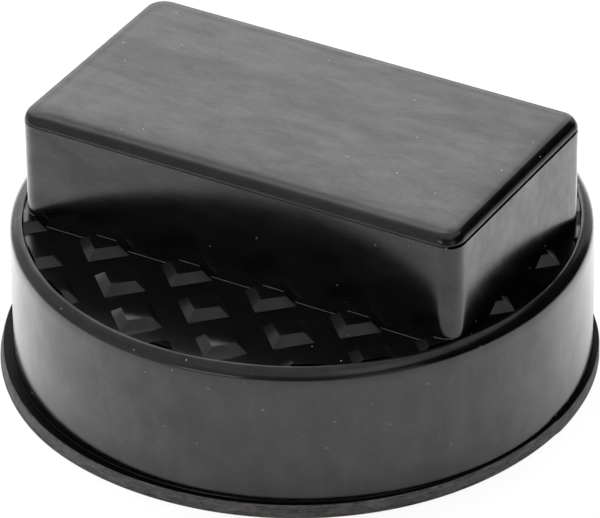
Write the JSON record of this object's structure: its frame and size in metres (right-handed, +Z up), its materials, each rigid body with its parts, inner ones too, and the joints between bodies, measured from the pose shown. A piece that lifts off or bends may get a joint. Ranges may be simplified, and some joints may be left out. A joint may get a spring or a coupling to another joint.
{
  "type": "rubber jack pad",
  "caption": "Moulded rubber pad for a lifting jack: a round puck with a foot lip and a studded tray, and an oblong block across it that plugs into a jacking point.",
  "frame": {"origin": "middle of the round underside that the pad stands on", "axes": "+Z up out of the block's flat top, X along the block's length, Y along its width"},
  "size_m": [0.08, 0.08, 0.0374],
  "materials": {
    "black_rubber": "satin moulded black rubber"
  },
  "bodies": {
    "root": {"rubber_pad": "black_rubber"}
  },
  "joints": []
}
